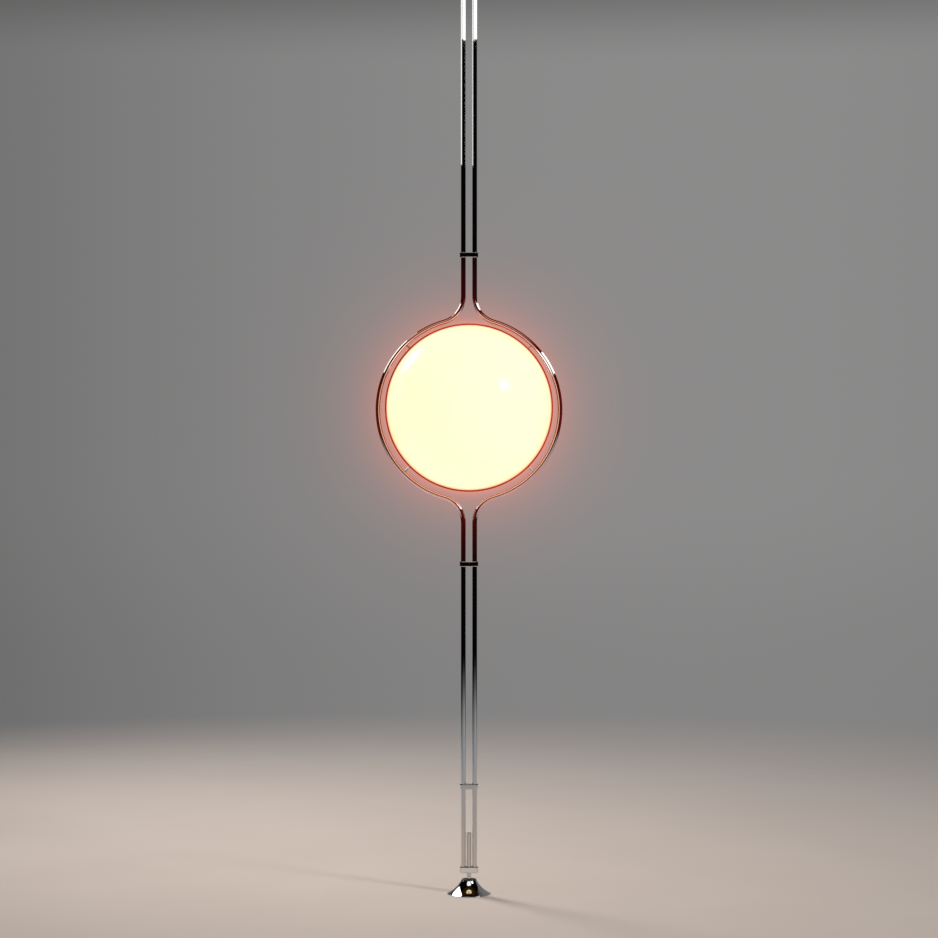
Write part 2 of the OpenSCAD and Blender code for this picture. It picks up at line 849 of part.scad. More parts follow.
lower_tube_left();
lower_tube_right();
ring_tube_left();
ring_tube_right();
upper_tube_left();
upper_tube_right();
lower_coupling_bar();
upper_coupling_bar();
lower_guide_bar();
upper_guide_bar();
floor_end_block();
ceiling_end_block();
lower_spigots();
upper_spigots();
set_screws();
upper_support_pins();
lower_support_pins();
pin_nuts();
equator_band();
front_gasket();
rear_gasket();
front_shell_clips();
rear_shell_clips();
globe_front_shell();
globe_rear_shell();
stem_foot();
stem_foot_screws();
lamp_stem();
lampholder_body();
lampholder_screw_shell();
lampholder_contact();
bulb_screw_cap();
bulb_housing();
bulb_dome();
supply_lead();
lead_clips();
inlet_grommet();
floor_foot_cone();
floor_foot_disc();
floor_foot_pad();
floor_jack_rod();
floor_rod_washer();
floor_rod_screw();
ceiling_cup_cone();
ceiling_cup_disc();
ceiling_cup_pad();
ceiling_jack_rod();
ceiling_rod_washer();
ceiling_rod_screw();
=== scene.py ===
import json
import math

import bmesh
import bpy
from mathutils import Matrix, Vector


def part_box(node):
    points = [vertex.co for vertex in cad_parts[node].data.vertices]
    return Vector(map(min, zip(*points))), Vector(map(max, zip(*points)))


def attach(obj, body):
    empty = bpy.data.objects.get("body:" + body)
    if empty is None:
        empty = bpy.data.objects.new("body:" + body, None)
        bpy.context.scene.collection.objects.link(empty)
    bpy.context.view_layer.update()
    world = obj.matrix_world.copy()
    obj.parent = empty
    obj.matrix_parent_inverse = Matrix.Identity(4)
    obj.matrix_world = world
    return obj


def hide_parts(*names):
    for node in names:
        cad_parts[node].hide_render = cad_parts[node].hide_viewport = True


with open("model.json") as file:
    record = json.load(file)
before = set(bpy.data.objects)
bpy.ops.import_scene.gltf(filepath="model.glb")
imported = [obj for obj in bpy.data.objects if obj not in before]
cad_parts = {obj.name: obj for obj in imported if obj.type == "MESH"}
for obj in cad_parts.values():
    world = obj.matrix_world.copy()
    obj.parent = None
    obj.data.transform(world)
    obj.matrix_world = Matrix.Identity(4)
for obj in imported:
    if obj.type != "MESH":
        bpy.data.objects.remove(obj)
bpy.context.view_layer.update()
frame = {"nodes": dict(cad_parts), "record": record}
nodes = frame["nodes"]

MM = 0.001


# Sizes of the lamp in millimetres, measured on the solids

def reach(node, axis):
    """Lowest and highest place of a solid along an axis."""
    k = "xyz".index(axis)
    return [round(corner[k] / MM, 3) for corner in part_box(node)]


def middle_of(node, axis):
    low, high = reach(node, axis)
    return (low + high) / 2


def height_of(node):
    low, high = reach(node, "z")
    return high - low


def out_to(node, axis="x"):
    """Radius or half width of a solid that stands round the lamp's axis."""
    return reach(node, axis)[1]


ROOM_H = reach("ceiling_cup_pad", "z")[1]
TUBE_X = middle_of("lower_tube_right", "x")
TUBE_R = out_to("lower_tube_right") - TUBE_X
TUBE_END_Z = reach("lower_tube_right", "z")[0]
RING_LOW_Z = reach("ring_tube_right", "z")[0]
RING_Z = middle_of("ring_tube_right", "z")
RING_R = out_to("ring_tube_right") - TUBE_R
BAR_R = out_to("lower_guide_bar", "y")
BAR_H = height_of("lower_guide_bar")
GUIDE_Z = middle_of("lower_guide_bar", "z")
COUPLING_Z = middle_of("lower_coupling_bar", "z")
COUPLING_RISE = RING_Z - COUPLING_Z
HALF_BUTT = RING_LOW_Z - COUPLING_Z
BLOCK_Z = reach("floor_end_block", "z")[0]
BLOCK_H = height_of("floor_end_block")
RIM_Y, GLOBE_R = reach("globe_rear_shell", "y")
GLOBE_Z = middle_of("equator_band", "z")
BAND_R = out_to("equator_band")
LIP_Y = out_to("equator_band", "y")
FOOT_R = out_to("floor_foot_cone")
PAD_PROUD, DISC_Z = reach("floor_foot_cone", "z")
DISC_R = out_to("floor_foot_disc")
FOOT_H = reach("floor_foot_disc", "z")[1]
PAD_R = out_to("floor_foot_pad")
PAD_T = height_of("floor_foot_pad")
ROD_R = out_to("floor_jack_rod")
JOURNAL_Z, ROD_TOP = reach("floor_jack_rod", "z")
INLET_Z = middle_of("inlet_grommet", "z")
INLET_IN_Y, INLET_OUT_Y = reach("inlet_grommet", "y")
INLET_FLANGE_R = out_to("inlet_grommet") - TUBE_X

# Sizes in millimetres that a solid's box doesn't show
TUBE_BORE_R = 4.0
BEND_R = 56.0
BAR_EDGE = 1.2
SCREW_R = 1.55
SCREW_START_Y = 4.0
SCREW_DEPTH = 6.0
SHELL_WALL = 3.0
LIP_R = 175.3
WEB_R = 165.0
WEB_Y = 4.0
NECK_R = 16.0
JOURNAL_R = 4.06
INLET_R = 2.0
INLET_HOLE_R = 3.05

BEND_X = TUBE_X + BEND_R
BEND_Z = math.sqrt((RING_R + BEND_R) ** 2 - BEND_X ** 2)
RING_ANGLE = math.atan2(BEND_Z, BEND_X)


# Materials

class Tree:
    """A node tree, with short ways to add and join nodes."""

    def __init__(self, tree):
        self.tree = tree

    def add(self, kind, **settings):
        node = self.tree.nodes.new("ShaderNode" + kind)
        for key, value in settings.items():
            if key in node.inputs:
                node.inputs[key].default_value = value
            else:
                setattr(node, key, value)
        return node

    def join(self, source, target):
        """Links a socket to another, or puts a number on it."""
        if isinstance(source, (int, float)):
            target.default_value = source
        else:
            self.tree.links.new(source, target)

    def place(self):
        return self.add("TexCoord").outputs["Object"]

    def parts(self, vector=None):
        node = self.add("SeparateXYZ")
        self.join(vector or self.place(), node.inputs["Vector"])
        return node.outputs

    def length(self, vector):
        node = self.add("VectorMath", operation="LENGTH")
        self.join(vector, node.inputs[0])
        return node.outputs["Value"]

    def shift(self, offset):
        node = self.add("VectorMath", operation="SUBTRACT")
        self.join(self.place(), node.inputs[0])
        node.inputs[1].default_value = offset
        return node.outputs["Vector"]

    def math(self, operation, *values):
        node = self.add("Math", operation=operation)
        for socket, value in zip(node.inputs, values):
            self.join(value, socket)
        return node.outputs["Value"]

    def choose(self, switch, no, yes):
        node = self.add("Mix", data_type="FLOAT")
        for k, value in ((0, switch), (2, no), (3, yes)):
            self.join(value, node.inputs[k])
        return node.outputs[0]

    def noise(self, scale, detail=3.0, vector=None):
        node = self.add("TexNoise", Scale=scale, Detail=detail)
        self.join(vector or self.place(), node.inputs["Vector"])
        return node.outputs["Fac"]

    def span(self, value, low, high, to_low=0.0, to_high=1.0, smooth=False):
        node = self.add("MapRange")
        node.interpolation_type = "SMOOTHSTEP" if smooth else "LINEAR"
        for key, number in (("From Min", low), ("From Max", high), ("To Min", to_low), ("To Max", to_high)):
            node.inputs[key].default_value = number
        self.join(value, node.inputs["Value"])
        return node.outputs["Result"]

    def ramp(self, value, stops):
        node = self.add("ValToRGB")
        band = node.color_ramp
        while len(band.elements) < len(stops):
            band.elements.new(0.5)
        for element, (at, colour) in zip(band.elements, stops):
            element.position = at
            element.color = (*colour, 1.0)
        self.join(value, node.inputs["Fac"])
        return node.outputs["Color"]


class Graph(Tree):
    """A material's node tree round its main shader."""

    def __init__(self, name):
        self.material = bpy.data.materials.new(name)
        self.material.use_nodes = True
        super().__init__(self.material.node_tree)
        self.shader = self.tree.nodes["Principled BSDF"]
        self.output = self.tree.nodes["Material Output"]

    def put(self, **values):
        for key, value in values.items():
            self.shader.inputs[key.replace("_", " ")].default_value = value

    def bump(self, height, strength, distance):
        node = self.add("Bump", Strength=strength, Distance=distance)
        self.join(height, node.inputs["Height"])
        self.join(node.outputs["Normal"], self.shader.inputs["Normal"])

    def colour(self, value):
        self.join(value, self.shader.inputs["Base Color"])

    def roughness(self, value):
        self.join(value, self.shader.inputs["Roughness"])


def plated_metal(name, dark, light, rough_low, rough_high):
    g = Graph(name)
    g.put(Metallic=1.0)
    g.colour(g.ramp(g.noise(9.0), ((0.3, dark), (0.7, light))))
    g.roughness(g.span(g.noise(60.0, 5.0), 0.3, 0.7, rough_low, rough_high))
    return g.material


def brushed_metal(name, dark, light):
    g = Graph(name)
    g.put(Metallic=1.0)
    stretch = g.add("Mapping")
    stretch.inputs["Scale"].default_value = (900.0, 900.0, 40.0)
    g.join(g.place(), stretch.inputs["Vector"])
    lines = g.noise(1.0, 4.0, stretch.outputs["Vector"])
    g.colour(g.ramp(lines, ((0.3, dark), (0.7, light))))
    g.roughness(g.span(lines, 0.3, 0.7, 0.24, 0.42))
    g.bump(lines, 0.08, 0.00003)
    return g.material


def soft_polymer(name, dark, light, rough):
    g = Graph(name)
    g.colour(g.ramp(g.noise(220.0, 4.0), ((0.3, dark), (0.7, light))))
    g.roughness(g.span(g.noise(400.0), 0.3, 0.7, rough - 0.08, rough + 0.08))
    g.bump(g.noise(1800.0, 2.0), 0.15, 0.00004)
    return g.material


def painted(name, dark, light):
    g = Graph(name)
    g.put(Coat_Weight=0.3, Coat_Roughness=0.15)
    g.colour(g.ramp(g.noise(30.0, 4.0), ((0.3, dark), (0.7, light))))
    g.roughness(g.span(g.noise(300.0), 0.3, 0.7, 0.3, 0.42))
    g.bump(g.noise(2500.0, 2.0), 0.06, 0.00002)
    return g.material


def glazed(name, dark, light):
    g = Graph(name)
    g.put(Coat_Weight=0.5, Coat_Roughness=0.05)
    g.colour(g.ramp(g.noise(80.0, 3.0), ((0.35, dark), (0.65, light))))
    g.roughness(g.span(g.noise(50.0), 0.3, 0.7, 0.16, 0.28))
    g.bump(g.noise(160.0, 2.0), 0.05, 0.0002)
    return g.material


def braided(name, dark, light):
    g = Graph(name)
    turn = g.add("Mapping")
    turn.inputs["Rotation"].default_value = (0.0, math.radians(45), 0.0)
    g.join(g.place(), turn.inputs["Vector"])
    wave = g.add("TexWave", Scale=700.0, Distortion=1.5, Detail=2.0)
    g.join(turn.outputs["Vector"], wave.inputs["Vector"])
    g.colour(g.ramp(wave.outputs["Fac"], ((0.2, dark), (0.8, light))))
    g.roughness(g.span(wave.outputs["Fac"], 0.0, 1.0, 0.55, 0.75))
    g.bump(wave.outputs["Fac"], 0.3, 0.0002)
    return g.material


def lit_opal(name, depth_stops):
    """Opal lit from inside; its glow follows the depth in millimetres from the globe's equator, so that
    stops near the equator can paint the shade of its rim.
    """
    g = Graph(name)
    g.put(Roughness=0.16, Specular_IOR_Level=0.35)
    g.colour(g.ramp(g.noise(25.0, 3.0), ((0.3, (0.34, 0.33, 0.25)), (0.7, (0.38, 0.37, 0.29)))))
    depth = g.math("ABSOLUTE", g.parts()["Y"])
    cloud = g.math("MULTIPLY_ADD", g.noise(14.0, 2.0), 0.003, depth)
    deepest = depth_stops[-1][0]
    share = g.span(cloud, 0.0, deepest * MM)
    glow = g.ramp(share, [(at / deepest, colour) for at, colour in depth_stops])
    g.join(glow, g.shader.inputs["Emission Color"])
    g.put(Emission_Strength=1.0)
    g.bump(g.noise(40.0, 2.0), 0.01, 0.0004)
    return g.material


chrome = plated_metal("chrome", (0.60, 0.605, 0.61), (0.67, 0.67, 0.665), 0.01, 0.03)
steel = brushed_metal("steel", (0.42, 0.42, 0.43), (0.58, 0.58, 0.59))
brass = brushed_metal("brass", (0.58, 0.42, 0.16), (0.76, 0.58, 0.26))
# Painted shade: the globe's glow turns dark red within 14 mm of the equator band and cream from about 58 mm,
# standing for its darker rim
opal = lit_opal("opal", (
    (0.0, (0.55, 0.09, 0.03)), (14.0, (0.88, 0.28, 0.11)), (26.0, (0.92, 0.52, 0.27)),
    (38.0, (0.92, 0.76, 0.44)), (58.0, (0.92, 0.86, 0.52)), (90.0, (0.90, 0.88, 0.56))))
bulb_glow = lit_opal("bulb_glow", ((0.0, (0.95, 0.90, 0.66)), (40.0, (1.0, 0.95, 0.72))))
band_paint = painted("band_paint", (0.52, 0.05, 0.010), (0.64, 0.07, 0.016))
porcelain = glazed("porcelain", (0.78, 0.76, 0.70), (0.86, 0.85, 0.80))
silicone = soft_polymer("silicone", (0.70, 0.70, 0.66), (0.80, 0.80, 0.76), 0.5)
black_rubber = soft_polymer("black_rubber", (0.012, 0.012, 0.012), (0.03, 0.03, 0.03), 0.7)
black_disc = soft_polymer("black_disc", (0.010, 0.010, 0.010), (0.022, 0.022, 0.022), 0.3)
sleeve = braided("lead_sleeve", (0.58, 0.56, 0.50), (0.78, 0.76, 0.70))

by_slot = {
    "chrome": chrome, "steel": steel, "opal": opal, "orange_band": band_paint, "brass": brass,
    "porcelain": porcelain, "silicone": silicone, "black_rubber": black_rubber, "lead_sleeve": sleeve,
    "black_disc": black_disc,
}
slot_of = {p["node"]: p["material_slot"] for p in frame["record"]["subparts"]}
body_of = {n: body for body, names in frame["record"]["behaviour"]["bodies"].items() for n in names}
for name, obj in nodes.items():
    obj.data.materials.clear()
    obj.data.materials.append(by_slot[slot_of[name]])


# Shapes

def put_object(name, mesh):
    obj = bpy.data.objects.new(name, mesh)
    bpy.context.scene.collection.objects.link(obj)
    return obj


def clean(mesh, sharp):
    """Joins coinciding points, turns the faces outward and smooths all but the sharp edges."""
    work = bmesh.new()
    work.from_mesh(mesh)
    bmesh.ops.remove_doubles(work, verts=work.verts, dist=1e-7)
    bmesh.ops.recalc_face_normals(work, faces=work.faces)
    work.to_mesh(mesh)
    work.free()
    mesh.shade_smooth()
    mesh.set_sharp_from_angle(angle=math.radians(sharp))


def solid(name, points, faces, place=None, sharp=40.0):
    """Object from points in millimetres."""
    place = place or Matrix.Identity(4)
    mesh = bpy.data.meshes.new(name)
    mesh.from_pydata([(place @ Vector(p)) * MM for p in points], [], faces)
    clean(mesh, sharp)
    return put_object(name, mesh)


def stand_for(obj, node, material=None):
    """Puts a finer piece in the place of a solid: same body, same finish."""
    obj.data.materials.clear()
    obj.data.materials.append(material or by_slot[slot_of[node]])
    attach(obj, body_of[node])
    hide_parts(node)
    return obj


def fillet(corners, steps=4):
    """Closed outline through (x, y, radius) corners, each rounded, with a hold line beside each curve."""
    outline = []
    for k, (x, y, radius) in enumerate(corners):
        here = Vector((x, y))
        if radius == 0:
            outline.append(here)
            continue
        before = (Vector(corners[k - 1][:2]) - here).normalized()
        after = (Vector(corners[(k + 1) % len(corners)][:2]) - here).normalized()
        half = before.angle(after) / 2
        setback = radius / math.tan(half)
        hub = here + (before + after).normalized() * (radius / math.sin(half))
        first = here + before * setback - hub
        last = here + after * setback - hub
        start = math.atan2(first.y, first.x)
        sweep = (math.atan2(last.y, last.x) - start + math.pi) % (2 * math.pi) - math.pi
        outline.append(here + before * (setback + radius * 0.25))
        for s in range(steps + 1):
            angle = start + sweep * s / steps
            outline.append(hub + Vector((math.cos(angle), math.sin(angle))) * radius)
        outline.append(here + after * (setback + radius * 0.25))
    return [tuple(p) for p in outline]


def arc(centre, radius, from_angle, to_angle, steps):
    return [(centre[0] + radius * math.cos(a), centre[1] + radius * math.sin(a))
            for a in (from_angle + (to_angle - from_angle) * s / steps for s in range(steps + 1))]


def lathe(name, outline, place=None, around=96, sharp=40.0):
    """Closed outline of (radius, height) points turned round +Z, then placed."""
    points, rings = [], []
    for radius, height in outline:
        if radius < 1e-6:
            rings.append([len(points)] * around)
            points.append((0.0, 0.0, height))
        else:
            rings.append(list(range(len(points), len(points) + around)))
            points += [(radius * math.cos(a), radius * math.sin(a), height)
                       for a in (2 * math.pi * k / around for k in range(around))]
    faces = []
    for low, high in zip(rings, rings[1:] + rings[:1]):
        for k in range(around):
            m = (k + 1) % around
            corners = list(dict.fromkeys((low[k], low[m], high[m], high[k])))
            if len(corners) > 2:
                faces.append(corners)
    return solid(name, points, faces, place, sharp)


def screwed(name, crest, root, pitch, low, high, cap_rows, place, around=72, per_turn=10):
    """Lathe whose wall carries a rolled thread between two heights; cap_rows close it at both ends."""
    rows = int((high - low) / pitch * per_turn)
    points, rings = [], []

    def ring(height, radius_at):
        rings.append(list(range(len(points), len(points) + around)))
        for k in range(around):
            a = 2 * math.pi * k / around
            r = radius_at(a)
            points.append((r * math.cos(a), r * math.sin(a), height))

    for radius, height in cap_rows[0]:
        ring(height, lambda a, r=radius: r)
    for i in range(rows + 1):
        height = low + (high - low) * i / rows
        fade = min(1.0, i / per_turn, (rows - i) / per_turn)
        ring(height, lambda a: root + (crest - root) * fade * (
            0.5 + 0.5 * math.sin(2 * math.pi * height / pitch - a)))
    for radius, height in cap_rows[1]:
        ring(height, lambda a, r=radius: r)
    faces = [(a[k], a[(k + 1) % around], b[(k + 1) % around], b[k])
             for a, b in zip(rings, rings[1:] + rings[:1]) for k in range(around)]
    return solid(name, points, faces, place)


def tube(name, path, side, around=48):
    """Open tube along (x, z) points of the right-hand tube; side -1 mirrors it to the left."""
    points, outer, inner = [], [], []
    for k, (x, z) in enumerate(path):
        ahead = Vector(path[min(k + 1, len(path) - 1)])
        behind = Vector(path[max(k - 1, 0)])
        along = (ahead - behind).normalized()
        across = Vector((along.y, -along.x))
        for rings, radius in ((outer, TUBE_R), (inner, TUBE_BORE_R)):
            rings.append(list(range(len(points), len(points) + around)))
            for s in range(around):
                a = 2 * math.pi * s / around
                out = across * (radius * math.cos(a))
                points.append((side * (x + out.x), radius * math.sin(a), z + out.y))
    faces = []
    for rings in (outer, inner):
        for a, b in zip(rings, rings[1:]):
            faces += [(a[s], a[(s + 1) % around], b[(s + 1) % around], b[s]) for s in range(around)]
    for a, b in ((outer[0], inner[0]), (outer[-1], inner[-1])):
        faces += [(a[s], a[(s + 1) % around], b[(s + 1) % around], b[s]) for s in range(around)]
    return solid(name, points, faces)


def ring_path():
    """Right-hand ring tube from the lower coupling bar to the upper, with a hold line at each bend."""
    hold = 2.0
    lower = [(TUBE_X, RING_Z - COUPLING_RISE + HALF_BUTT), (TUBE_X, RING_Z - BEND_Z - hold)]
    lower += arc((BEND_X, RING_Z - BEND_Z), BEND_R, math.pi, math.pi - RING_ANGLE, 28)
    middle = arc((0.0, RING_Z), RING_R, -RING_ANGLE, RING_ANGLE, 120)
    upper = [(x, 2 * RING_Z - z) for x, z in reversed(lower)]
    return lower + middle[1:-1] + upper


def drill(obj, holes):
    """Cuts round holes, given as (centre, direction, radius, length) in millimetres."""
    work = bmesh.new()
    for centre, direction, radius, length in holes:
        turn = Vector(direction).to_track_quat("Z", "Y").to_matrix().to_4x4()
        middle = Vector(centre) + Vector(direction) * (length / 2)
        bmesh.ops.create_cone(work, cap_ends=True, segments=48, radius1=radius * MM, radius2=radius * MM,
                              depth=length * MM, matrix=Matrix.Translation(middle * MM) @ turn)
    mesh = bpy.data.meshes.new("cutter")
    work.to_mesh(mesh)
    work.free()
    cutter = put_object("cutter", mesh)
    cut = obj.modifiers.new("holes", "BOOLEAN")
    cut.operation = "DIFFERENCE"
    cut.solver = "EXACT"
    cut.object = cutter
    bpy.context.view_layer.update()
    shape = bpy.data.meshes.new_from_object(obj.evaluated_get(bpy.context.evaluated_depsgraph_get()))
    obj.modifiers.clear()
    obj.data = shape
    bpy.data.objects.remove(cutter)


def bar(name, bottom, height, bores, screw_rows):
    """Round-ended bar with rounded edges; bores are (x, radius, low, high)."""
    half = math.pi / 2
    edge_steps = 10
    end_steps = 40
    quarter_turn = [half * s / edge_steps for s in range(edge_steps + 1)]
    hold = BAR_EDGE * 0.2
    below = [(BAR_EDGE + hold, 0.0)]
    below += [(BAR_EDGE * (1 - math.sin(a)), BAR_EDGE * (1 - math.cos(a))) for a in quarter_turn]
    below += [(0.0, BAR_EDGE + hold)]
    levels = below + [(inset, height - rise) for inset, rise in reversed(below)]
    points, loops = [], []
    for inset, rise in levels:
        outline = (arc((TUBE_X, 0.0), BAR_R - inset, -half, half, end_steps)
                   + arc((-TUBE_X, 0.0), BAR_R - inset, half, 3 * half, end_steps))
        loops.append(list(range(len(points), len(points) + len(outline))))
        points += [(x, y, bottom + rise) for x, y in outline]
    faces = [(a[k - 1], a[k], b[k], b[k - 1]) for a, b in zip(loops, loops[1:]) for k in range(len(a))]
    obj = solid(name, points, faces + [loops[0], loops[-1]])
    upright = [((x, 0.0, low), (0, 0, 1), radius, high - low) for x, radius, low, high in bores]
    screw_holes = [((side * TUBE_X, SCREW_START_Y, z), (0, 1, 0), SCREW_R, SCREW_DEPTH)
                   for side in (-1, 1) for z in screw_rows]
    drill(obj, upright + screw_holes)
    clean(obj.data, sharp=12.0)
    return obj


def at_ceiling():
    return Matrix.Translation((0.0, 0.0, ROOM_H)) @ Matrix.Scale(-1.0, 4, (0.0, 0.0, 1.0))


def at_globe(turn=0.0, axis="X"):
    return Matrix.Translation((0.0, 0.0, GLOBE_Z)) @ Matrix.Rotation(math.radians(turn), 4, axis)


# Tubes, bars and blocks

INLET_MARGIN = 6.0
lower_bar_z = RING_Z - COUPLING_RISE
upper_bar_z = RING_Z + COUPLING_RISE
top_z = ROOM_H - TUBE_END_Z
upper_rows = (upper_bar_z + HALF_BUTT, INLET_Z - INLET_MARGIN, INLET_Z + INLET_MARGIN, top_z)
ring_tubes, straight_tubes, bars = [], [], []
for side, hand in ((-1, "left"), (1, "right")):
    lower = tube(f"lower_tube_{hand}_fine", [(TUBE_X, TUBE_END_Z), (TUBE_X, lower_bar_z - HALF_BUTT)], side)
    straight_tubes.append(stand_for(lower, f"lower_tube_{hand}"))
    ring_tubes.append(stand_for(tube(f"ring_tube_{hand}_fine", ring_path(), side), f"ring_tube_{hand}"))
    upper = tube(f"upper_tube_{hand}_fine", [(TUBE_X, z) for z in upper_rows], side)
    if side > 0:
        drill(upper, [((TUBE_X, 0.0, INLET_Z), (0, 1, 0), INLET_HOLE_R, 2 * TUBE_R)])
        clean(upper.data, sharp=30.0)
    straight_tubes.append(stand_for(upper, f"upper_tube_{hand}"))

OVER = 1.0
TUBE_PLAY = 0.05
ROD_PLAY = 0.06
SEAT_PLAY = 0.3
BORE_R = TUBE_R + TUBE_PLAY
quarter = BAR_H / 4
for node, middle, screws in (("lower_coupling_bar", lower_bar_z, (-quarter, quarter)),
                             ("upper_coupling_bar", upper_bar_z, (-quarter, quarter)),
                             ("lower_guide_bar", GUIDE_Z, (0.0,)),
                             ("upper_guide_bar", ROOM_H - GUIDE_Z, (0.0,))):
    bottom = middle - BAR_H / 2
    through = [(side * TUBE_X, BORE_R, bottom - OVER, bottom + BAR_H + OVER) for side in (-1, 1)]
    bars.append(stand_for(bar(node + "_fine", bottom, BAR_H, through, [middle + z for z in screws]), node))

BLOCK_TOP = BLOCK_Z + BLOCK_H
SEAT_Z = TUBE_END_Z - SEAT_PLAY
for node, bottom, low, high in (
        ("floor_end_block", BLOCK_Z, SEAT_Z, BLOCK_TOP + OVER),
        ("ceiling_end_block", ROOM_H - BLOCK_TOP, ROOM_H - BLOCK_TOP - OVER, ROOM_H - SEAT_Z)):
    bores = [(side * TUBE_X, BORE_R, low, high) for side in (-1, 1)]
    bores.append((0.0, ROD_R + ROD_PLAY, bottom - OVER, bottom + BLOCK_H + OVER))
    bars.append(stand_for(bar(node + "_fine", bottom, BLOCK_H, bores, [bottom + BLOCK_H / 2]), node))

# Globe, band and pins

stand_for(lathe("equator_band_fine", fillet([
    (WEB_R, -WEB_Y, 0.3), (LIP_R, -WEB_Y, 0.2), (LIP_R, -LIP_Y, 0.5), (BAND_R, -LIP_Y, 0.9),
    (BAND_R, LIP_Y, 0.9), (LIP_R, LIP_Y, 0.5), (LIP_R, WEB_Y, 0.2), (WEB_R, WEB_Y, 0.3)]),
    at_globe(-90), 256), "equator_band")


def shell_outline():
    """Half ball with the edges of its rim taken off."""
    inner_r = GLOBE_R - SHELL_WALL
    outside = arc((0.0, 0.0), GLOBE_R, math.asin((RIM_Y + 0.8) / GLOBE_R), math.pi / 2, 72)
    inside = arc((0.0, 0.0), inner_r, math.pi / 2, math.asin((RIM_Y + 0.6) / inner_r), 72)
    outside[-1] = (0.0, GLOBE_R)
    inside[0] = (0.0, inner_r)
    rim = [(inside[-1][0] + 0.5, RIM_Y), (outside[0][0] - 0.7, RIM_Y)]
    return rim + [(outside[0][0] - 0.2, RIM_Y + 0.25)] + outside + inside


shells = [stand_for(lathe(f"{node}_fine", shell_outline(), at_globe(turn), 200), node)
          for node, turn in (("globe_rear_shell", -90), ("globe_front_shell", 90))]

PIN_R = 2.5
PIN_STUB_R = 2.0
PIN_BORE_R = 1.3
PIN_STUB_END = 160.3
PIN_SEAT_R = 189.5
PIN_ANGLE = 45.0


def pin_outline(angle):
    """Hollow pin from inside the band to its seat in the ring, whose middle is below the globe's."""
    offset, a = GLOBE_Z - RING_Z, math.radians(angle)
    seat = math.sqrt(PIN_SEAT_R ** 2 - (offset * math.cos(a)) ** 2) - offset * math.sin(a)
    return fillet([(PIN_BORE_R, PIN_STUB_END, 0.0), (PIN_STUB_R, PIN_STUB_END, 0.3),
                   (PIN_STUB_R, BAND_R, 0.0), (PIN_R, BAND_R, 0.3), (PIN_R, seat, 0.2),
                   (PIN_BORE_R, seat, 0.0)])


pins = []
for node, angle in (("upper_support_pins", PIN_ANGLE), ("lower_support_pins", -PIN_ANGLE)):
    pair = [lathe(f"{node}_{side}", pin_outline(angle), at_globe(turn, "Y"), 48)
            for side, turn in (("right", 90 - angle), ("left", angle - 90))]
    pins += [stand_for(obj, node) for obj in pair]

# Feet and jacks

FLANK_R = 65.0
CONE_Z = 1.3
RECESS_R = PAD_R + 0.05
WELL_R = 12.0
WELL_TOP = 15.0
DISC_BEVEL = 0.6
RIB_PITCH = 4.0
RIB_COUNT = 8
GROOVE_DEPTH = 0.4
GROOVE_HALF = 0.8
GROOVE_FLOOR_HALF = 0.5
ROD_END_R = 4.0
ROD_SHOULDER_Z = FOOT_H + 0.06
ROD_HOLE_R = 2.55
ROD_HOLE_TOP = 27.7


def cone_outline():
    """Upright rim, one hollow flank up to the neck, and the recesses inside."""
    base = Vector((FOOT_R, CONE_Z))
    neck = Vector((NECK_R, DISC_Z))
    chord = neck - base
    rise = math.sqrt(FLANK_R ** 2 - (chord.length / 2) ** 2)
    hub = (base + neck) / 2 + Vector((chord.y, -chord.x)).normalized() * rise
    low, high = base - hub, neck - hub
    flank = arc(hub, FLANK_R, math.atan2(low.y, low.x), math.atan2(high.y, high.x), 44)[1:-1]
    return fillet([(RECESS_R, PAD_PROUD, 0.2), (FOOT_R, PAD_PROUD, 0.2), (FOOT_R, CONE_Z, 0.4)]
                  + [(r, z, 0.0) for r, z in flank]
                  + [(NECK_R, DISC_Z, 0.3), (JOURNAL_R, DISC_Z, 0.0), (JOURNAL_R, WELL_TOP, 0.0),
                     (WELL_R, WELL_TOP, 0.0), (WELL_R, PAD_T, 0.0), (RECESS_R, PAD_T, 0.0)])


def disc_outline():
    return fillet([(JOURNAL_R, DISC_Z, 0.0), (DISC_R, DISC_Z, 0.2), (DISC_R, FOOT_H - DISC_BEVEL, 0.2),
                   (DISC_R - DISC_BEVEL, FOOT_H, 0.2), (JOURNAL_R, FOOT_H, 0.2)])


def pad_outline():
    """Rubber pad with grooves underneath, which leave ribs between them."""
    under = [(0.0, 0.0)]
    for k in range(RIB_COUNT):
        r = RIB_PITCH * (k + 2)
        under += [(r - GROOVE_HALF, 0.0), (r - GROOVE_FLOOR_HALF, GROOVE_DEPTH),
                  (r + GROOVE_FLOOR_HALF, GROOVE_DEPTH), (r + GROOVE_HALF, 0.0)]
    edge = fillet([(0.0, 0.0, 0.0), (PAD_R, 0.0, 0.3), (PAD_R, PAD_T, 0.3), (0.0, PAD_T, 0.0)])
    return under + edge[1:]


def rod_outline():
    """Rod with a thinner end in the foot, drilled for its screw."""
    return fillet([(0.0, ROD_HOLE_TOP, 0.0), (ROD_HOLE_R, ROD_HOLE_TOP, 0.0), (ROD_HOLE_R, JOURNAL_Z, 0.0),
                   (ROD_END_R, JOURNAL_Z, 0.2), (ROD_END_R, ROD_SHOULDER_Z, 0.0),
                   (ROD_R, ROD_SHOULDER_Z, 0.2), (ROD_R, ROD_TOP, 0.7), (0.0, ROD_TOP, 0.0)])


for end, fitting, place in (("floor", "foot", Matrix.Identity(4)), ("ceiling", "cup", at_ceiling())):
    for part, outline, around in (("cone", cone_outline(), 160), ("disc", disc_outline(), 128),
                                  ("pad", pad_outline(), 96)):
        node = f"{end}_{fitting}_{part}"
        stand_for(lathe(node + "_fine", outline, place, around), node)
    node = f"{end}_jack_rod"
    stand_for(lathe(node + "_fine", rod_outline(), place, 64), node)

# Lampholder, bulb and inlet, with heights from the globe's middle

def heights(node):
    return [z - GLOBE_Z for z in reach(node, "z")]


